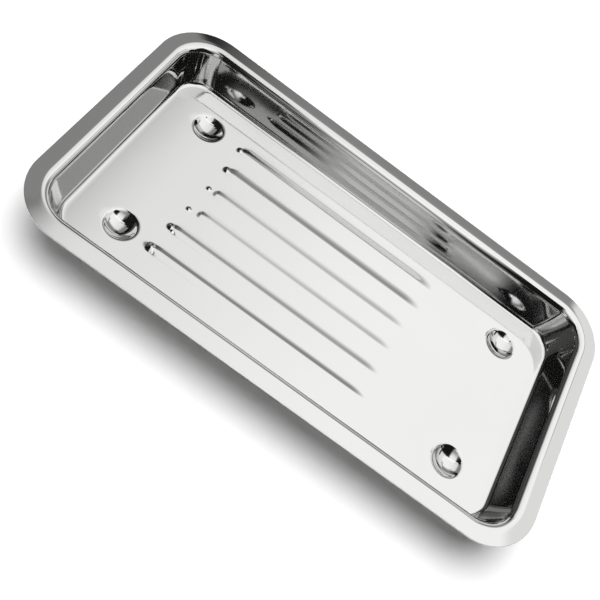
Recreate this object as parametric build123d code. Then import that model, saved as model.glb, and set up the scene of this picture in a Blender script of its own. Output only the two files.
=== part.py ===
from build123d import *
from math import acos, atan, atan2, cos, degrees, hypot, radians, sin, sqrt, tan
import os

os.makedirs("parts", exist_ok=True)

# A small instrument tray, deep drawn from one stainless sheet. Every node is one formed zone of that sheet.
# Millimetres. X runs along the tray, +Y to its rear, +Z up. The origin is under its middle, at the feet.

sheet = 0.7

# Rim: a lip that slopes down and out from a rounded crest
tray_length = 203.2
tray_width = 114.3
lip_corner_radius = 20.4
flange_width = 5.0
flange_slope = 6.0
crest_radius = 3.2
crest_end_tilt = 60.0

# Walls: they lean in to a floor whose corners are rounder than a parallel line to the lip would be
lip_above_floor = 14.9
floor_inset = 13.3
floor_corner_radius = 9.8
cove_radius = 1.8
corner_sections = 10

# Feet: four round dimples pressed down, each a dish with a rolled edge and a small flat to stand on
foot_radius = 7.0
foot_dish_radius = 5.6
foot_depth = 2.4
foot_pad_radius = 1.5
foot_x = 70.6
foot_y = 29.1

# Ribs: six low ridges pressed up like roofs, nearer to the left end
rib_count = 6
rib_pitch = 11.8
rib_width = 8.0
rib_lean = 9.0
rib_ridge_radius = 3.0
rib_edge_radius = 6.0
rib_left_end = -59.0
rib_right_end = 39.0

# Lean of a foot's section where its two arcs meet, and their radii
foot_lean = 2 * atan(foot_depth / foot_radius)
dish_bend = foot_dish_radius / sin(foot_lean)
edge_bend = (foot_radius - foot_dish_radius) / sin(foot_lean)

# Heights that follow from the dimensions above
pad_flat = dish_bend - sqrt(dish_bend**2 - foot_pad_radius**2)
floor_under = foot_depth - pad_flat
floor_top = floor_under + sheet
lip_height = floor_top + lip_above_floor

# Centres of the two arcs of the section, as (inset from the lip, height)
slope = radians(flange_slope)
crest_centre = (
    flange_width + crest_radius * sin(slope),
    lip_height + flange_width * tan(slope) - crest_radius * cos(slope),
)
cove_centre = (floor_inset, floor_top + cove_radius)

# Axes of the corners: the rim turns about one, and the wall and floor about another further in
rim_axis = (tray_length / 2 - lip_corner_radius, tray_width / 2 - lip_corner_radius)
spread = floor_corner_radius - (lip_corner_radius - floor_inset)
wall_axis = (rim_axis[0] - spread, rim_axis[1] - spread)

# Each corner's side of the tray in X and Y, and the direction in degrees that its turn starts from
corners = {
    "rear_right": (1, 1, 0),
    "rear_left": (-1, 1, 90),
    "front_left": (-1, -1, 180),
    "front_right": (1, -1, 270),
}


def crest_point(tilt, below=0.0):
    """Point (inset, height) on the crest, where the sheet's normal has this tilt from upright."""
    reach = crest_radius - below
    return (
        crest_centre[0] + reach * sin(radians(tilt)),
        crest_centre[1] + reach * cos(radians(tilt)),
    )


def cove_point(tilt, below=0.0):
    """The same on the cove between wall and floor, which curves the other way."""
    reach = cove_radius + below
    return (
        cove_centre[0] - reach * sin(radians(tilt)),
        cove_centre[1] - reach * cos(radians(tilt)),
    )


def tangent_tilt():
    """Tilt of the wall's normal, from the straight line that touches both arcs."""
    across = cove_centre[0] - crest_centre[0]
    down = cove_centre[1] - crest_centre[1]
    apart = hypot(across, down)
    return degrees(atan2(across, down) - acos((crest_radius + cove_radius) / apart))


wall_tilt = tangent_tilt()


def share_down(height):
    """0 at the top of the wall and 1 at the floor, easing in from the top."""
    top = crest_point(crest_end_tilt)[1]
    return ((top - height) / (top - floor_top)) ** 2


def corner_reach(inset, turn, share):
    """Distance from a wall axis to a level line of the wall, along a ray at a turn of 0 to 90 degrees."""
    shift = spread * (1 - share)
    radius = lip_corner_radius - inset + spread * share
    angle = radians(min(turn, 90 - turn))
    straight = (shift + radius) / cos(angle)
    if straight * sin(angle) <= shift:
        return straight
    along = shift * (cos(angle) + sin(angle))
    return along + sqrt(along**2 + radius**2 - 2 * shift**2)


def placed(axis, corner, turn, reach, height):
    """Point at a reach from a corner's axis, in the direction of its turn."""
    side_x, side_y, start = corner
    return Vector(
        side_x * axis[0] + reach * cos(radians(start + turn)),
        side_y * axis[1] + reach * sin(radians(start + turn)),
        height,
    )


def rim_section(corner, turn):
    """Section of the rim: the sloping flange and the top of the crest."""

    def at(point):
        return placed(rim_axis, corner, turn, lip_corner_radius - point[0], point[1])

    lip = at((0.0, lip_height))
    lip_below = at((sheet * sin(slope), lip_height - sheet * cos(slope)))
    middle = (crest_end_tilt - flange_slope) / 2
    top = [at(crest_point(tilt)) for tilt in (-flange_slope, middle, crest_end_tilt)]
    under = [at(crest_point(tilt, sheet)) for tilt in (-flange_slope, middle, crest_end_tilt)]
    edges = [
        Line(lip, top[0]),
        ThreePointArc(*top),
        Line(top[2], under[2]),
        ThreePointArc(*reversed(under)),
        Line(under[0], lip_below),
        Line(lip_below, lip),
    ]
    return make_face(Curve() + edges)


def wall_section(corner, turn):
    """Section of the wall: the crest's inner side, the straight wall and the cove to the floor's edge."""

    def at(arc_point, tilt, below=0.0):
        inset, height = arc_point(tilt, below)
        share = share_down(arc_point(tilt)[1])
        return placed(wall_axis, corner, turn, corner_reach(inset, turn, share), height)

    crest_tilts = (crest_end_tilt, (crest_end_tilt + wall_tilt) / 2, wall_tilt)
    cove_tilts = (wall_tilt, wall_tilt / 2, 0)
    crest = [at(crest_point, tilt) for tilt in crest_tilts]
    cove = [at(cove_point, tilt) for tilt in cove_tilts]
    crest_under = [at(crest_point, tilt, sheet) for tilt in crest_tilts]
    cove_under = [at(cove_point, tilt, sheet) for tilt in cove_tilts]
    edges = [
        ThreePointArc(*crest),
        Line(crest[2], cove[0]),
        ThreePointArc(*cove),
        Line(cove[2], cove_under[2]),
        ThreePointArc(*reversed(cove_under)),
        Line(cove_under[0], crest_under[2]),
        ThreePointArc(*reversed(crest_under)),
        Line(crest_under[0], crest[0]),
    ]
    return make_face(Curve() + edges)


def straight_zones(section, axis):
    """The four straight runs of a section, each between two corners, by the side it is on."""
    return {
        "right": extrude(section(corners["front_right"], 90), 2 * axis[1], dir=(0, 1, 0)),
        "rear": extrude(section(corners["rear_right"], 90), 2 * axis[0], dir=(-1, 0, 0)),
        "left": extrude(section(corners["rear_left"], 90), 2 * axis[1], dir=(0, -1, 0)),
        "front": extrude(section(corners["front_left"], 90), 2 * axis[0], dir=(1, 0, 0)),
    }


def rim_corner(corner):
    """The rim's section turned through a quarter about the corner's axis."""
    side_x, side_y, _ = corner
    upright = Axis((side_x * rim_axis[0], side_y * rim_axis[1], 0), (0, 0, 1))
    return revolve(rim_section(corner, 0), upright, 90)


def wall_corner(corner):
    """The wall's sections round a corner, blended into one curved zone."""
    turns = [90 * i / (corner_sections - 1) for i in range(corner_sections)]
    return loft([wall_section(corner, turn) for turn in turns])


def rib_plan(y):
    """Outline of a rib seen from above: two lines and two half circles."""
    return Pos((rib_left_end + rib_right_end) / 2, y, 0) * SlotOverall(rib_right_end - rib_left_end, rib_width)


def sheet_section(upper, kinds):
    """Section of the sheet under a row of arcs and straight runs, from a pressing's middle out to the floor."""
    lower = [point - Vector(0, 0, sheet) for point in upper]
    edges = []
    for row in (upper, lower):
        start = 0
        for kind in kinds:
            if kind == "arc":
                edges.append(ThreePointArc(*row[start:start + 3]))
                start += 2
            else:
                edges.append(Line(*row[start:start + 2]))
                start += 1
    edges.append(Line(upper[-1], lower[-1]))
    edges.append(Line(upper[0], lower[0]))
    return make_face(Curve() + edges)


def rib_section(x, y, side):
    """Half of a rib's section, on one side of its ridge: a rounded ridge, a straight flank and a soft edge."""
    lean = radians(rib_lean)
    flank_start = rib_ridge_radius * sin(lean)
    flank_end = rib_width / 2 - rib_edge_radius * sin(lean)
    edge_rise = rib_edge_radius * (1 - cos(lean))
    flank_top = edge_rise + (flank_end - flank_start) * tan(lean)
    ridge = flank_top + rib_ridge_radius * (1 - cos(lean))

    def at(out, rise):
        return Vector(x, y + side * out, floor_top + rise)

    upper = [
        at(0, ridge),
        at(rib_ridge_radius * sin(lean / 2), ridge - rib_ridge_radius * (1 - cos(lean / 2))),
        at(flank_start, flank_top),
        at(flank_end, edge_rise),
        at(rib_width / 2 - rib_edge_radius * sin(lean / 2), rib_edge_radius * (1 - cos(lean / 2))),
        at(rib_width / 2, 0),
    ]
    return sheet_section(upper, ("arc", "line", "arc"))


def rib(y):
    """One rib: its section run straight, and turned through a half circle at each end."""
    left = rib_left_end + rib_width / 2
    right = rib_right_end - rib_width / 2
    run = right - left
    made = extrude(rib_section(left, y, 1), run, dir=(1, 0, 0))
    made += extrude(rib_section(left, y, -1), run, dir=(1, 0, 0))
    made += revolve(rib_section(left, y, 1), Axis((left, y, 0), (0, 0, 1)), 180)
    made += revolve(rib_section(right, y, -1), Axis((right, y, 0), (0, 0, 1)), 180)
    return made


def foot(x, y):
    """One foot: its section turned full circle, and cut level underneath to make the pad."""

    def dish(lean):
        return Vector(x + dish_bend * sin(lean), y, floor_top - foot_depth + dish_bend * (1 - cos(lean)))

    def edge(lean):
        return Vector(x + foot_radius - edge_bend * sin(lean), y, floor_top - edge_bend * (1 - cos(lean)))

    upper = [dish(0), dish(foot_lean / 2), dish(foot_lean), edge(foot_lean / 2), edge(0)]
    section = sheet_section(upper, ("arc", "arc"))
    wide = 3 * foot_radius
    ground = Pos(x, y, -foot_depth / 2) * Box(wide, wide, foot_depth)
    return revolve(section, Axis((x, y, 0), (0, 0, 1)), 360) - ground


foot_places = {
    "rear_right": (foot_x, foot_y),
    "rear_left": (-foot_x, foot_y),
    "front_left": (-foot_x, -foot_y),
    "front_right": (foot_x, -foot_y),
}

rib_places = [rib_pitch * (i - (rib_count - 1) / 2) for i in range(rib_count)]


def floor_panel():
    """The flat floor, open where the ribs and feet are pressed."""
    length = tray_length - 2 * floor_inset
    width = tray_width - 2 * floor_inset
    plan = RectangleRounded(length, width, floor_corner_radius)
    for x, y in foot_places.values():
        plan -= Pos(x, y, 0) * Circle(foot_radius)
    for y in rib_places:
        plan -= rib_plan(y)
    return extrude(Pos(0, 0, floor_under) * plan, sheet)


nodes = {"floor_panel": floor_panel()}

for number, y in enumerate(rib_places, start=1):
    nodes[f"rib_{number}"] = rib(y)

for place, (x, y) in foot_places.items():
    nodes[f"foot_{place}"] = foot(x, y)

for side, zone in straight_zones(wall_section, wall_axis).items():
    nodes[f"wall_{side}"] = zone

for side, zone in straight_zones(rim_section, rim_axis).items():
    nodes[f"rim_{side}"] = zone

for place, corner in corners.items():
    nodes[f"wall_corner_{place}"] = wall_corner(corner)
    nodes[f"rim_corner_{place}"] = rim_corner(corner)

for name, shape in nodes.items():
    export_step(shape, f"parts/{name}.step")

whole = Compound(children=list(nodes.values())).bounding_box()
print("zones", len(nodes))
print("size", round(whole.size.X, 2), round(whole.size.Y, 2), round(whole.size.Z, 2))
print("floor top", round(floor_top, 3), "lip", round(lip_height, 3), "highest", round(whole.max.Z, 3))
print("wall leans", round(90 - wall_tilt, 1), "degrees")
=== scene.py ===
import math

import bpy
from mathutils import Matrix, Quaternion, Vector, noise


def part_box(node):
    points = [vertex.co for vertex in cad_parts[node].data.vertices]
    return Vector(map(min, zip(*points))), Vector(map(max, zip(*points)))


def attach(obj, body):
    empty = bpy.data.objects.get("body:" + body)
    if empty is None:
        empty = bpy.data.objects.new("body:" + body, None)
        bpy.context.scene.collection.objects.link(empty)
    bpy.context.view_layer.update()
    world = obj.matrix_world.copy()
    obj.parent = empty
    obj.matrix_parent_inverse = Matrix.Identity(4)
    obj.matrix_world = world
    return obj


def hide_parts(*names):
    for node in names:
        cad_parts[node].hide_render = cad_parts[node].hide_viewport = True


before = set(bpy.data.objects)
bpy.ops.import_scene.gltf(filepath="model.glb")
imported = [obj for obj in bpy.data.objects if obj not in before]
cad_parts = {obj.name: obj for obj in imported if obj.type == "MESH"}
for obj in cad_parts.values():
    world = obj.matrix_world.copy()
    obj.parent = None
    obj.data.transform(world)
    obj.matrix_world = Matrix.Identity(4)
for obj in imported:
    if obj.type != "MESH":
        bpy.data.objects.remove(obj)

scene = bpy.context.scene
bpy.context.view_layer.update()  # measured before anything is dressed
mm = 0.001


# The sheet. The tray is one pressing, so one skin stands for all of its formed zones.
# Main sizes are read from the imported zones; these are the ones that the boxes don't give.

sheetForm = {
    "thickness": 0.7 * mm,
    "flangeWidth": 5.0 * mm,  # from the lip in to where the crest starts
    "flangeSlope": 6.0,  # degrees, down and out
    "crestRadius": 3.2 * mm,
    "crestEndTilt": 60.0,  # degrees: from here down the sheet counts as wall, for its corners and swells
    "coveRadius": 1.8 * mm,
    "edgeRound": 0.10 * mm,  # the cut edge is deburred
    "edgeHold": 1.3,  # of edgeRound: a second line this far in keeps the edge's shading off the flange
    "edgeSteps": 4,  # how many faces go round the cut edge's corners, and so on for each stretch
    "cornerSteps": 44,
    "flangeSteps": 4,
    "crestSteps": 14,
    "wallSteps": 16,
    "coveSteps": 10,
    "floorMargin": 1.0 * mm,  # flat ring between the cove and the floor's grid
    "gridInset": 3.6 * mm,  # from the floor's edge in to its grid
}


def readSheet(form):
    slope = math.radians(form["flangeSlope"])
    _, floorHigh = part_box("floor_panel")
    rimLow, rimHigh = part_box("rim_corner_rear_right")
    wallLow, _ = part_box("wall_corner_rear_right")
    form["halfLength"] = rimHigh.x
    form["halfWidth"] = rimHigh.y
    form["floorTop"] = floorHigh.z
    form["floorInset"] = rimHigh.x - floorHigh.x
    form["lipRadius"] = rimHigh.x - rimLow.x
    form["spread"] = rimLow.x - wallLow.x  # the wall turns about an axis further in than the rim's
    form["crestCentre"] = (
        form["flangeWidth"] + form["crestRadius"] * math.sin(slope),
        rimHigh.z - form["crestRadius"],
    )
    crestStart = crestPoint(form, -form["flangeSlope"])
    form["lipHeight"] = crestStart[1] - form["flangeWidth"] * math.tan(slope)
    form["coveCentre"] = (form["floorInset"], form["floorTop"] + form["coveRadius"])
    across = form["coveCentre"][0] - form["crestCentre"][0]
    down = form["coveCentre"][1] - form["crestCentre"][1]
    bend = math.acos((form["crestRadius"] + form["coveRadius"]) / math.hypot(across, down))
    form["wallTilt"] = math.degrees(math.atan2(across, down) - bend)
    form["topOfWall"] = crestPoint(form, form["crestEndTilt"])[1]


def crestPoint(form, tilt, below=0.0):
    # (inset from the lip, height) where the sheet's normal has this tilt from upright
    reach = form["crestRadius"] - below
    lean = math.radians(tilt)
    return (form["crestCentre"][0] + reach * math.sin(lean), form["crestCentre"][1] + reach * math.cos(lean))


def covePoint(form, tilt, below=0.0):
    reach = form["coveRadius"] + below
    lean = math.radians(tilt)
    return (form["coveCentre"][0] - reach * math.sin(lean), form["coveCentre"][1] - reach * math.cos(lean))


def steps(first, last, count):
    return [first + (last - first) * i / count for i in range(count + 1)]


def shareDown(form, height):
    # 0 where the wall starts and 1 at the floor: how far a corner has moved over to the floor's own radius
    down = (form["topOfWall"] - height) / (form["topOfWall"] - form["floorTop"])
    return max(0.0, min(1.0, down)) ** 2


def sectionSide(form, below):
    # stations (inset, height, share, height on the top face) from the flange's outer end to the floor's edge
    slope = math.radians(form["flangeSlope"])
    lip = (below * math.sin(slope), form["lipHeight"] - below * math.cos(slope))
    crestStart = crestPoint(form, -form["flangeSlope"], below)
    wallStart = crestPoint(form, form["wallTilt"], below)
    wallEnd = covePoint(form, form["wallTilt"], below)
    wallStartHeight = crestPoint(form, form["wallTilt"])[1]
    wallEndHeight = covePoint(form, form["wallTilt"])[1]
    stations = []
    edge = form["edgeRound"] / form["flangeWidth"]
    for t in [edge, form["edgeHold"] * edge] + steps(0, 1, form["flangeSteps"])[1:-1]:
        stations.append((
            lip[0] + (crestStart[0] - lip[0]) * t,
            lip[1] + (crestStart[1] - lip[1]) * t,
            0.0,
            form["lipHeight"],
        ))
    for tilt in steps(-form["flangeSlope"], form["wallTilt"], form["crestSteps"]):
        topHeight = crestPoint(form, tilt)[1]
        share = shareDown(form, topHeight) if tilt > form["crestEndTilt"] else 0.0
        stations.append((*crestPoint(form, tilt, below), share, topHeight))
    for t in steps(0, 1, form["wallSteps"])[1:-1]:
        topHeight = wallStartHeight + (wallEndHeight - wallStartHeight) * t
        stations.append((
            wallStart[0] + (wallEnd[0] - wallStart[0]) * t,
            wallStart[1] + (wallEnd[1] - wallStart[1]) * t,
            shareDown(form, topHeight),
            topHeight,
        ))
    for tilt in steps(form["wallTilt"], 0, form["coveSteps"]):
        topHeight = covePoint(form, tilt)[1]
        stations.append((*covePoint(form, tilt, below), shareDown(form, topHeight), topHeight))
    return stations


def cutEdge(form):
    # the rounded end of the sheet, from the top face to the underside
    slope = math.radians(form["flangeSlope"])
    out = (-math.cos(slope), -math.sin(slope))
    up = (-math.sin(slope), math.cos(slope))
    cornerIn = form["edgeRound"]
    stations = []
    for below, side, first in ((0.0, 1, 0), (form["thickness"], -1, 90)):
        middle = (
            below * math.sin(slope) - cornerIn * (out[0] + side * up[0]),
            form["lipHeight"] - below * math.cos(slope) - cornerIn * (out[1] + side * up[1]),
        )
        for turn in steps(first, first + 90, form["edgeSteps"]):
            lean = math.radians(turn)
            stations.append((
                middle[0] + cornerIn * (up[0] * math.cos(lean) + out[0] * math.sin(lean)),
                middle[1] + cornerIn * (up[1] * math.cos(lean) + out[1] * math.sin(lean)),
                0.0,
                form["lipHeight"],
            ))
    return stations


def sheetLoop(form):
    # every station of the section, from the floor's top face out round the lip and back under the floor
    margin = form["floorInset"] + form["floorMargin"]
    topMargin = (margin, form["floorTop"], 1.0, form["floorTop"])
    underMargin = (margin, form["floorTop"] - form["thickness"], 1.0, form["floorTop"])
    top = sectionSide(form, 0.0)
    under = sectionSide(form, form["thickness"])
    return [topMargin] + top[::-1] + cutEdge(form)[1:-1] + under + [underMargin]


# Low swells that a thin sheet keeps after drawing: slow along the walls, and upright wrinkles in the corners
waveForm = {
    "floorDepth": 0.035 * mm,
    "floorLength": 19.0 * mm,
    "floorGrowth": 2,  # full depth is reached half a floorLength in from the grid's edge
    "floorLayer": 7.3,  # the floor has a layer of the noise to itself
    "wallDepth": 0.012 * mm,
    "wallLength": 60.0 * mm,
    "wallRise": 11.0 * mm,
    "wallGrowth": 3,  # full depth is reached a third of the wall's height in from its two ends
    "cornerDepth": 0.07 * mm,
    "cornerLength": 5.0 * mm,
    "cornerRise": 26.0 * mm,
}


def wallWave(form, x, y, height, inCorner):
    # how far a point of the wall is pushed out by the sheet's swells, fading out at the crest and the floor
    up = (height - form["floorTop"]) / (form["topOfWall"] - form["floorTop"])
    if not 0.0 < up < 1.0:
        return 0.0
    wave = waveForm
    if inCorner:
        along = Vector((x / wave["cornerLength"], y / wave["cornerLength"], height / wave["cornerRise"]))
        push = wave["cornerDepth"] * inCorner * noise.noise(along)
    else:
        along = Vector((x / wave["wallLength"], y / wave["wallLength"], height / wave["wallRise"]))
        push = wave["wallDepth"] * noise.noise(along)
    return push * min(1.0, wave["wallGrowth"] * up, wave["wallGrowth"] * (1 - up))


def levelRing(form, station, linesX, linesY):
    # a level line of the sheet: a rounded rectangle with as many points on every ring
    inset, height, share, trueHeight = station
    reachX = form["halfLength"] - inset
    reachY = form["halfWidth"] - inset
    radius = form["lipRadius"] - inset + form["spread"] * share
    straightX = (reachX - radius) / linesX[-1]
    straightY = (reachY - radius) / linesY[-1]
    points = []

    def add(x, y, outX, outY, inCorner):
        push = wallWave(form, x, y, trueHeight, inCorner)
        points.append((x + outX * push, y + outY * push, height))

    for corner, (sideX, sideY) in enumerate(((1, 1), (-1, 1), (-1, -1), (1, -1))):
        for turn in steps(0, 90, form["cornerSteps"]):
            lean = math.radians(90 * corner + turn)
            out = (math.cos(lean), math.sin(lean))
            x = sideX * (reachX - radius) + radius * out[0]
            y = sideY * (reachY - radius) + radius * out[1]
            add(x, y, *out, math.sin(math.radians(2 * turn)))
        if corner == 0:
            for x in reversed(linesX[1:-1]):
                add(x * straightX, reachY, 0, 1, 0)
        elif corner == 1:
            for y in reversed(linesY[1:-1]):
                add(-reachX, y * straightY, -1, 0, 0)
        elif corner == 2:
            for x in linesX[1:-1]:
                add(x * straightX, -reachY, 0, -1, 0)
        else:
            for y in linesY[1:-1]:
                add(reachX, y * straightY, 1, 0, 0)
    return points


def easeIn(share):
    share = max(0.0, min(1.0, share))
    return share * share * (3 - 2 * share)


def softMax(a, b, blend):
    mix = max(0.0, min(1.0, 0.5 + 0.5 * (a - b) / blend))
    return b + (a - b) * mix + blend * mix * (1 - mix)


# The ribs. Each is a low roof: its near side is short, its far side is longer and dies out slowly. Its left
# end is punched up into a small nub, a little off the rib's middle. A rib's value under "own" goes before the
# one that the ribs share.
ribForm = {
    "near": 3.4 * mm,  # from the ridge to where a side ends
    "far": 5.4 * mm,
    "ridgeAside": -0.6 * mm,  # how far off the rib's middle line the ridge lies
    "ridgeBlend": 0.12,  # the part of a side that the ridge's rounding takes
    "nearBlend": 0.22,  # the part of a side that eases out into the floor
    "farBlend": 0.5,
    "nubBlend": 0.05 * mm,  # between nub and ridge
    "earlyStart": 0.3,  # of the nub's radius: the ridge starts this much before the nub's middle
    "startSpan": 1.8 * mm,  # the ridge's left end rises over this
    "startWidth": 0.6,  # a rib starts at this part of its width
    "widenSpan": 2.5,  # of startSpan: here it has its full width
    "fadeSpan": 12.0 * mm,  # the right end lets go gently
    "own": {  # nubPlace is from the rib's left end and from its middle line
        "rib_1": {
            "ridge": 0.60 * mm, "nub": 1.02 * mm, "nubRadius": 2.7 * mm, "nubPlace": (1.5 * mm, -0.3 * mm),
            "near": 4.3 * mm, "far": 4.4 * mm, "ridgeAside": -0.1 * mm,
        },
        "rib_2": {
            "ridge": 0.57 * mm, "nub": 0.82 * mm, "nubRadius": 2.1 * mm, "nubPlace": (2.3 * mm, -0.3 * mm),
        },
        "rib_3": {
            "ridge": 0.43 * mm, "nub": 0.54 * mm, "nubRadius": 1.3 * mm, "nubPlace": (2.8 * mm, -1.3 * mm),
            "start": 3.1 * mm,  # the ridge starts this far beyond the nub's middle
        },
        "rib_4": {
            "ridge": 0.38 * mm, "nub": 0.54 * mm, "nubRadius": 1.3 * mm, "nubPlace": (3.6 * mm, -0.4 * mm),
            "start": 1.9 * mm,
        },
        "rib_5": {
            "ridge": 0.45 * mm, "nub": 0.82 * mm, "nubRadius": 2.1 * mm, "nubPlace": (4.4 * mm, -0.3 * mm),
        },
        "rib_6": {
            "ridge": 0.43 * mm, "nub": 0.72 * mm, "nubRadius": 1.8 * mm, "nubPlace": (3.4 * mm, -0.5 * mm),
        },
    },
}


def readRibs():
    ribs = []
    for name, own in ribForm["own"].items():
        low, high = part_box(name)
        half = (high.y - low.y) / 2
        middle = (low.y + high.y) / 2
        ribs.append({
            "near": ribForm["near"],
            "far": ribForm["far"],
            "ridgeAside": ribForm["ridgeAside"],
            "start": -ribForm["earlyStart"] * own["nubRadius"],
            **own,
            "left": low.x + half,
            "right": high.x - half,
            "half": half,
            "y": middle,
            "nubX": low.x + own["nubPlace"][0],
            "nubY": middle + own["nubPlace"][1],
        })
    return ribs


def roof(away, ridge, edge):
    # 1 on the ridge and 0 at the edge (away 1), straight in between
    if away >= 1.0:
        return 0.0
    full = 1 - ridge * (1 + edge)
    rise = 1 - math.hypot(away, ridge) * (1 + edge)
    if rise < edge:
        rise = max(0.0, rise + edge) ** 2 / (4 * edge)
    return rise / full


def ribRise(rib, x, y):
    form = ribForm
    nubAway = math.hypot(x - rib["nubX"], y - rib["nubY"]) / rib["nubRadius"]
    nub = rib["nub"] * roof(nubAway, form["ridgeBlend"], form["nearBlend"])
    fromStart = (x - rib["nubX"] - rib["start"]) / form["startSpan"]
    wide = form["startWidth"] + (1 - form["startWidth"]) * easeIn(fromStart / form["widenSpan"])
    aside = y - rib["y"] - rib["ridgeAside"]
    side = "far" if aside > 0.0 else "near"
    beyond = max(0.0, x - rib["right"]) / rib["half"]
    away = math.hypot(beyond, aside / (wide * rib[side]))
    ridge = rib["ridge"] * roof(away, form["ridgeBlend"], form[side + "Blend"])
    ridge *= easeIn(fromStart) * easeIn((rib["right"] + rib["half"] - x) / form["fadeSpan"])
    if ridge == 0.0 and nub == 0.0:
        return 0.0
    return softMax(ridge, nub, form["nubBlend"])


# The feet: dimples pressed down, each a dish with a rolled edge round it
footForm = {
    "names": ["foot_rear_right", "foot_rear_left", "foot_front_left", "foot_front_right"],
    "depth": 2.4 * mm,
    "dishShare": 0.8,  # of the radius: the dish, and outside it the rolled edge
    "padBlend": 0.1 * mm,  # the underside is flattened where it stands on the table
}


def readFeet():
    feet = []
    for name in footForm["names"]:
        low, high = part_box(name)
        radius = (high.x - low.x) / 2
        dish = radius * footForm["dishShare"]
        lean = 2 * math.atan(footForm["depth"] / radius)
        feet.append({
            "x": (low.x + high.x) / 2,
            "y": (low.y + high.y) / 2,
            "radius": radius,
            "dish": dish,
            "dishBend": dish / math.sin(lean),
            "edgeBend": (radius - dish) / math.sin(lean),
        })
    return feet


def footDrop(foot, x, y):
    away = math.hypot(x - foot["x"], y - foot["y"])
    if away >= foot["radius"]:
        return 0.0
    if away < foot["dish"]:
        return footForm["depth"] - foot["dishBend"] + math.sqrt(foot["dishBend"] ** 2 - away**2)
    return foot["edgeBend"] - math.sqrt(foot["edgeBend"] ** 2 - (foot["radius"] - away) ** 2)


# The floor, as a grid with closer lines where the sheet bends
gridForm = {
    "coarse": 1.5 * mm,
    "fine": 0.30 * mm,
    "bendMargin": 1.0 * mm,  # the close lines reach this far past a foot or a rib's right end
    "nubMargin": 2.0 * mm,  # and this far past the ribs' left ends
}


def gridLines(limit, spans):
    # from -limit to limit, close together inside the spans
    lines = [-limit]
    while lines[-1] < limit:
        near = any(low <= lines[-1] <= high for low, high in spans)
        lines.append(lines[-1] + (gridForm["fine"] if near else gridForm["coarse"]))
    stretch = 2 * limit / (lines[-1] + limit)
    return [-limit + (line + limit) * stretch for line in lines]


def readFloor(form):
    ribs = readRibs()
    feet = readFeet()
    limitX = form["halfLength"] - form["floorInset"] - form["gridInset"]
    limitY = form["halfWidth"] - form["floorInset"] - form["gridInset"]
    margin = gridForm["bendMargin"]
    left, right, half = ribs[0]["left"], ribs[0]["right"], ribs[0]["half"]  # all ribs have the same ends
    spans = [(foot["x"] - foot["radius"] - margin, foot["x"] + foot["radius"] + margin) for foot in feet]
    spans.append((left - half - gridForm["nubMargin"], left + half))
    spans.append((right - margin, right + half + margin))
    return {
        "ribs": ribs,
        "feet": feet,
        "limitX": limitX,
        "limitY": limitY,
        "linesX": gridLines(limitX, spans),
        "linesY": gridLines(limitY, [(-limitY, limitY)]),
    }


def floorHeight(floor, x, y):
    wave = waveForm
    length = wave["floorLength"]
    rise = sum(ribRise(rib, x, y) for rib in floor["ribs"])
    drop = sum(footDrop(foot, x, y) for foot in floor["feet"])
    fade = easeIn((floor["limitX"] - abs(x)) / length * wave["floorGrowth"])
    fade *= easeIn((floor["limitY"] - abs(y)) / length * wave["floorGrowth"])
    swell = wave["floorDepth"] * fade * noise.noise(Vector((x / length, y / length, wave["floorLayer"])))
    return sheetForm["floorTop"] + rise - drop + swell


def floorPoints(floor, below):
    points = []
    for y in floor["linesY"]:
        for x in floor["linesX"]:
            height = floorHeight(floor, x, y) - below
            if below:
                height = softMax(height, 0.0, footForm["padBlend"])
            points.append((x, y, height))
    return points


def ringFaces(ringCount, ringSize):
    faces = []
    for ring in range(ringCount - 1):
        for k in range(ringSize):
            after = (k + 1) % ringSize
            faces.append((
                ring * ringSize + k,
                (ring + 1) * ringSize + k,
                (ring + 1) * ringSize + after,
                ring * ringSize + after,
            ))
    return faces


def floorFaces(floor, start, ringStart, ringSize):
    # the grid's faces, and those that join its border to the ring beside it
    countX, countY = len(floor["linesX"]), len(floor["linesY"])
    faces = []
    for j in range(countY - 1):
        for i in range(countX - 1):
            a = start + j * countX + i
            faces.append((a, a + 1, a + countX + 1, a + countX))
    right = start + countX - 1
    farLeft = start + countX * (countY - 1)
    farRight = start + countX * countY - 1
    border = [
        (farRight, [farLeft + i for i in range(countX - 2, 0, -1)]),
        (farLeft, [start + j * countX for j in range(countY - 2, 0, -1)]),
        (start, [start + i for i in range(1, countX - 1)]),
        (right, [right + j * countX for j in range(1, countY - 1)]),
    ]
    inner = []
    for corner, side in border:
        inner += [corner] * (sheetForm["cornerSteps"] + 1) + side
    for k in range(ringSize):
        after = (k + 1) % ringSize
        face = [ringStart + k, ringStart + after, inner[after], inner[k]]
        if inner[k] == inner[after]:
            face.pop()
        faces.append(tuple(face))
    return faces


def buildSheet():
    form = sheetForm
    readSheet(form)
    floor = readFloor(form)
    rings = [levelRing(form, station, floor["linesX"], floor["linesY"]) for station in sheetLoop(form)]
    ringSize = len(rings[0])
    points = [point for ring in rings for point in ring]
    faces = ringFaces(len(rings), ringSize)
    for below, ringStart in ((0.0, 0), (form["thickness"], len(points) - ringSize)):
        floorSide = floorFaces(floor, len(points), ringStart, ringSize)
        faces += [face[::-1] for face in floorSide] if below else floorSide
        points += floorPoints(floor, below)

    mesh = bpy.data.meshes.new("pressed_sheet")
    mesh.from_pydata(points, [], faces)
    mesh.validate()
    for polygon in mesh.polygons:
        polygon.use_smooth = True
    sheet = bpy.data.objects.new("pressed_sheet", mesh)
    scene.collection.objects.link(sheet)
    print("sheet points", len(points), "faces", len(faces))
    return sheet


# The steel

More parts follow.
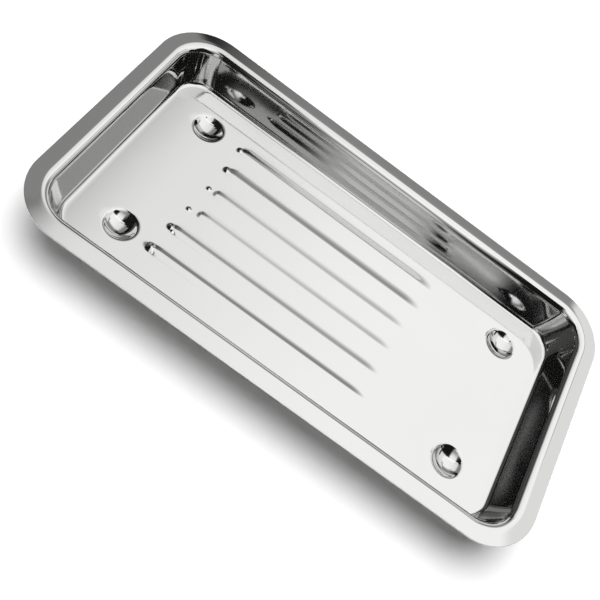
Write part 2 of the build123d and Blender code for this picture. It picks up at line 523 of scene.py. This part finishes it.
steelLook = {
    "clean": (0.725, 0.725, 0.715, 1.0),
    "wiped": (0.695, 0.695, 0.69, 1.0),  # where a cloth has left a faint film
    "wipeSize": 22.0,  # of the noise, per metre
    "wipeDetail": 3.0,
    "polish": (0.045, 0.075),  # roughness, from the brightest buffing to the dullest
    "polishSize": (260.0, 900.0, 260.0),  # buffed along the tray
    "polishDetail": 2.0,
    "buffStrength": 0.001,
    "buffDepth": 1.0 * mm,
}


def makeSteel():
    look = steelLook
    steel = bpy.data.materials.new("steel")
    steel.use_nodes = True
    nodes = steel.node_tree.nodes
    links = steel.node_tree.links
    shader = nodes["Principled BSDF"]
    shader.inputs["Metallic"].default_value = 1.0
    place = nodes.new("ShaderNodeTexCoord")

    wipe = nodes.new("ShaderNodeTexNoise")
    wipe.inputs["Scale"].default_value = look["wipeSize"]
    wipe.inputs["Detail"].default_value = look["wipeDetail"]
    links.new(place.outputs["Object"], wipe.inputs["Vector"])
    film = nodes.new("ShaderNodeMix")
    film.data_type = "RGBA"  # whose colours go in at sockets 6 and 7 and come out at 2
    film.inputs[6].default_value = look["clean"]
    film.inputs[7].default_value = look["wiped"]
    links.new(wipe.outputs["Fac"], film.inputs[0])
    links.new(film.outputs[2], shader.inputs["Base Color"])

    along = nodes.new("ShaderNodeMapping")
    along.inputs["Scale"].default_value = look["polishSize"]
    links.new(place.outputs["Object"], along.inputs["Vector"])
    buffing = nodes.new("ShaderNodeTexNoise")
    buffing.inputs["Scale"].default_value = 1.0
    buffing.inputs["Detail"].default_value = look["polishDetail"]
    links.new(along.outputs[0], buffing.inputs["Vector"])
    polish = nodes.new("ShaderNodeMapRange")
    polish.inputs["To Min"].default_value = look["polish"][0]
    polish.inputs["To Max"].default_value = look["polish"][1]
    links.new(buffing.outputs["Fac"], polish.inputs["Value"])
    links.new(polish.outputs[0], shader.inputs["Roughness"])
    bump = nodes.new("ShaderNodeBump")
    bump.inputs["Strength"].default_value = look["buffStrength"]
    bump.inputs["Distance"].default_value = look["buffDepth"]
    links.new(buffing.outputs["Fac"], bump.inputs["Height"])
    links.new(bump.outputs[0], shader.inputs["Normal"])
    return steel


trayShell = buildSheet()
trayShell.data.materials.append(makeSteel())
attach(trayShell, "root")
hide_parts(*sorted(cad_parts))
print("steel done")


# Camera, at the photographed angle

cameraPlace = {
    "eye": (-22.26 * mm, -184.55 * mm, 254.34 * mm),
    "target": (-4.63 * mm, -10.66 * mm, 3.0 * mm),
    "lens": 50.877,  # mm, on Blender's own 36 mm sensor
    "roll": 40.832,  # degrees
    "nearest": 10.0 * mm,  # what is nearer than this isn't seen
}


def placeCamera():
    data = bpy.data.cameras.new("camera")
    data.lens = cameraPlace["lens"]
    data.clip_start = cameraPlace["nearest"]
    camera = bpy.data.objects.new("camera", data)
    scene.collection.objects.link(camera)
    look = Vector(cameraPlace["target"]) - Vector(cameraPlace["eye"])
    camera.location = cameraPlace["eye"]
    camera.rotation_mode = "QUATERNION"
    turn = Quaternion((0, 0, 1), math.radians(cameraPlace["roll"]))
    camera.rotation_quaternion = look.to_track_quat("-Z", "Y") @ turn
    scene.camera = camera


placeCamera()
print("camera placed")


# Stage: a pale table under a bright tent, with dark and grey cards that only the steel sees

tableLook = {
    "size": 6.0,  # metres
    "colour": (0.94, 0.94, 0.94, 1.0),
    "roughness": 0.9,
}


def makePlate(name, wide, tall):
    x, y = wide / 2, tall / 2
    mesh = bpy.data.meshes.new(name)
    mesh.from_pydata([(-x, -y, 0), (x, -y, 0), (x, y, 0), (-x, y, 0)], [], [(0, 1, 2, 3)])
    plate = bpy.data.objects.new(name, mesh)
    scene.collection.objects.link(plate)
    return plate


def makeTable():
    table = makePlate("table", tableLook["size"], tableLook["size"])
    paint = bpy.data.materials.new("table_white")
    paint.use_nodes = True
    shader = paint.node_tree.nodes["Principled BSDF"]
    shader.inputs["Base Color"].default_value = tableLook["colour"]
    shader.inputs["Roughness"].default_value = tableLook["roughness"]
    shader.inputs["Specular IOR Level"].default_value = 0.0
    table.data.materials.append(paint)


# "up" cards hang level over the tray, "x" and "y" cards stand across that axis. Places and sizes are in
# metres, "soft" is the width of border that fades out, "grey" is 1 for white, and "turn" is in degrees about
# the upright. The near bands and ends are named by where the far wall shows them, which is upside down.
cards = {
    "left_flag": {
        "facing": "up", "middle": (-0.57, 0.00, 0.310), "size": (0.90, 1.80),
        "soft": (0.14, 0.02), "grey": 0.006,
    },
    "left_glow": {
        "facing": "up", "middle": (-0.255, 0.26, 0.300), "size": (0.13, 0.44),
        "soft": (0.03, 0.03), "grey": 0.30,
    },
    "left_dim": {
        "facing": "up", "middle": (-0.40, -0.25, 0.320), "size": (1.00, 1.30),
        "soft": (0.26, 0.06), "grey": 1.02,
    },
    "near_left_flag": {
        "facing": "up", "middle": (-0.475, -0.44, 0.308), "size": (0.88, 0.92),
        "soft": (0.055, 0.02), "grey": 0.01,
    },
    "near_right_flag": {
        "facing": "up", "middle": (0.50, -0.45, 0.308), "size": (0.82, 0.92),
        "soft": (0.06, 0.06), "grey": 0.01,
    },
    "near_tongue": {
        "facing": "up", "middle": (0.01, -0.46, 0.306), "size": (0.30, 0.80),
        "soft": (0.04, 0.22), "grey": 0.30,
    },
    "strip_lamp": {
        "facing": "up", "middle": (0.02, -0.013, 0.302), "size": (0.36, 0.032),
        "soft": (0.03, 0.008), "grey": 1.48,
    },
    "right_soft": {
        "facing": "up", "middle": (0.62, 0.25, 0.315), "size": (0.70, 0.70),
        "soft": (0.03, 0.03), "grey": 0.98,
    },
    "left_wall_card": {  # for the left wall, which faces right
        "facing": "up", "middle": (0.310, 0.37, 0.380), "size": (0.120, 0.36),
        "soft": (0.03, 0.10), "grey": 0.48,
    },
    "right_wall_streak": {  # for the right wall, which faces left
        "facing": "up", "middle": (-0.347, 0.335, 0.309), "size": (0.014, 0.17),
        "soft": (0.006, 0.04), "grey": 0.42, "turn": 3.8,
    },
    "near_dark": {
        "facing": "y", "middle": (0.00, -0.42, 0.14), "size": (1.40, 0.34),
        "soft": (0.01, 0.01), "grey": 0.01,
    },
    "near_column": {
        "facing": "y", "middle": (0.03, -0.41, 0.18), "size": (0.20, 0.40),
        "soft": (0.07, 0.03), "grey": 0.85,
    },
    "near_grey": {
        "facing": "y", "middle": (0.05, -0.405, 0.128), "size": (0.27, 0.034),
        "soft": (0.03, 0.004), "grey": 0.36,
    },
    "near_left_low": {
        "facing": "y", "middle": (-0.0725, -0.402, 0.146), "size": (0.155, 0.040),
        "soft": (0.03, 0.006), "grey": 0.50,
    },
    "near_band_high": {
        "facing": "y", "middle": (0.045, -0.40, 0.125), "size": (0.26, 0.013),
        "soft": (0.05, 0.006), "grey": 0.72,
    },
    "near_band_low": {
        "facing": "y", "middle": (0.035, -0.40, 0.140), "size": (0.30, 0.013),
        "soft": (0.05, 0.006), "grey": 0.60,
    },
    "near_corner": {
        "facing": "y", "middle": (0.100, -0.20, 0.100), "size": (0.090, 0.060),
        "soft": (0.012, 0.012), "grey": 0.01,
    },
    "near_end_high": {
        "facing": "y", "middle": (0.125, -0.395, 0.125), "size": (0.105, 0.011),
        "soft": (0.025, 0.003), "grey": 0.95,
    },
    "near_end_low": {
        "facing": "y", "middle": (0.125, -0.395, 0.140), "size": (0.105, 0.015),
        "soft": (0.025, 0.004), "grey": 0.80,
    },
    "far_low": {
        "facing": "y", "middle": (0.60, 1.55, 0.20), "size": (3.20, 0.90),
        "soft": (0.40, 0.25), "grey": 0.80,
    },
    "far_dark": {
        "facing": "y", "middle": (-2.05, 1.58, 0.85), "size": (4.00, 2.00),
        "soft": (0.45, 0.45), "grey": 0.15,
    },
    "far_card": {
        "facing": "y", "middle": (0.90, 1.60, 0.40), "size": (3.60, 2.70),
        "soft": (0.55, 0.75), "grey": 0.31,
    },
    "right_dark": {
        "facing": "x", "middle": (0.46, -0.40, 0.15), "size": (1.10, 0.34),
        "soft": (0.03, 0.03), "grey": 0.01,
    },
    "right_grey": {
        "facing": "x", "middle": (0.47, 0.30, 0.14), "size": (0.50, 0.30),
        "soft": (0.03, 0.03), "grey": 0.50,
    },
    "left_dark": {
        "facing": "x", "middle": (-0.46, 0.00, 0.15), "size": (1.80, 0.34),
        "soft": (0.01, 0.01), "grey": 0.08,
    },
}

cardFacing = {
    "up": (0, 0, 0),
    "x": (math.radians(90), 0, math.radians(90)),
    "y": (math.radians(90), 0, 0),
}


def makeGlow(name, card):
    # a glow that thins out over the soft border
    paint = bpy.data.materials.new(name)
    paint.use_nodes = True
    nodes = paint.node_tree.nodes
    links = paint.node_tree.links
    nodes.clear()
    place = nodes.new("ShaderNodeTexCoord")
    split = nodes.new("ShaderNodeSeparateXYZ")
    links.new(place.outputs["Object"], split.inputs[0])
    cover = nodes.new("ShaderNodeMath")
    cover.operation = "MULTIPLY"
    for side, axis in enumerate("XY"):
        half = card["size"][side] / 2
        away = nodes.new("ShaderNodeMath")
        away.operation = "ABSOLUTE"
        links.new(split.outputs[axis], away.inputs[0])
        fade = nodes.new("ShaderNodeMapRange")
        fade.interpolation_type = "SMOOTHSTEP"
        links.new(away.outputs[0], fade.inputs["Value"])
        fade.inputs["From Min"].default_value = half - card["soft"][side]
        fade.inputs["From Max"].default_value = half
        fade.inputs["To Min"].default_value = 1.0
        fade.inputs["To Max"].default_value = 0.0
        links.new(fade.outputs[0], cover.inputs[side])
    glow = nodes.new("ShaderNodeEmission")
    glow.inputs["Color"].default_value = (card["grey"], card["grey"], card["grey"], 1.0)
    clear = nodes.new("ShaderNodeBsdfTransparent")
    mix = nodes.new("ShaderNodeMixShader")
    links.new(cover.outputs[0], mix.inputs[0])
    links.new(clear.outputs[0], mix.inputs[1])
    links.new(glow.outputs[0], mix.inputs[2])
    out = nodes.new("ShaderNodeOutputMaterial")
    links.new(mix.outputs[0], out.inputs["Surface"])
    return paint


def makeCard(name, card):
    made = makePlate(name, *card["size"])
    made.data.materials.append(makeGlow(name, card))
    made.location = card["middle"]
    made.rotation_euler = cardFacing[card["facing"]]
    made.rotation_euler.z += math.radians(card.get("turn", 0))
    made.visible_camera = False
    made.visible_diffuse = False
    made.visible_shadow = False


tentLight = {
    "shown": 1.22,  # what the camera and the steel see
    "fill": 0.06,  # what lights the table
}


def makeTent():
    world = bpy.data.worlds.new("tent")
    world.use_nodes = True
    nodes = world.node_tree.nodes
    links = world.node_tree.links
    background = nodes["Background"]
    background.inputs["Color"].default_value = (1, 1, 1, 1)
    path = nodes.new("ShaderNodeLightPath")
    seen = nodes.new("ShaderNodeMath")
    seen.operation = "MAXIMUM"
    links.new(path.outputs["Is Camera Ray"], seen.inputs[0])
    links.new(path.outputs["Is Glossy Ray"], seen.inputs[1])
    seenThrough = nodes.new("ShaderNodeMath")
    seenThrough.operation = "MAXIMUM"
    links.new(seen.outputs[0], seenThrough.inputs[0])
    links.new(path.outputs["Is Transmission Ray"], seenThrough.inputs[1])
    level = nodes.new("ShaderNodeMapRange")
    links.new(seenThrough.outputs[0], level.inputs["Value"])
    level.inputs["To Min"].default_value = tentLight["fill"]
    level.inputs["To Max"].default_value = tentLight["shown"]
    links.new(level.outputs[0], background.inputs["Strength"])
    scene.world = world


keyLight = {
    "direction": (-0.10, 0.19, 1.25),  # towards the lamp
    "strength": 3.6,
    "angle": 62.0,  # degrees: wide, so the table's shadow is soft
}


def makeKey():
    light = bpy.data.lights.new("key", "SUN")
    light.energy = keyLight["strength"]
    light.angle = math.radians(keyLight["angle"])
    lamp = bpy.data.objects.new("key", light)
    scene.collection.objects.link(lamp)
    lamp.rotation_mode = "QUATERNION"
    lamp.rotation_quaternion = Vector(keyLight["direction"]).to_track_quat("Z", "Y")
    lamp.visible_glossy = False


makeTable()
print("table laid")
for name, card in cards.items():
    makeCard(name, card)
print("cards placed", len(cards))
makeTent()
makeKey()
scene.view_settings.view_transform = "Standard"
print("tent and key lit")
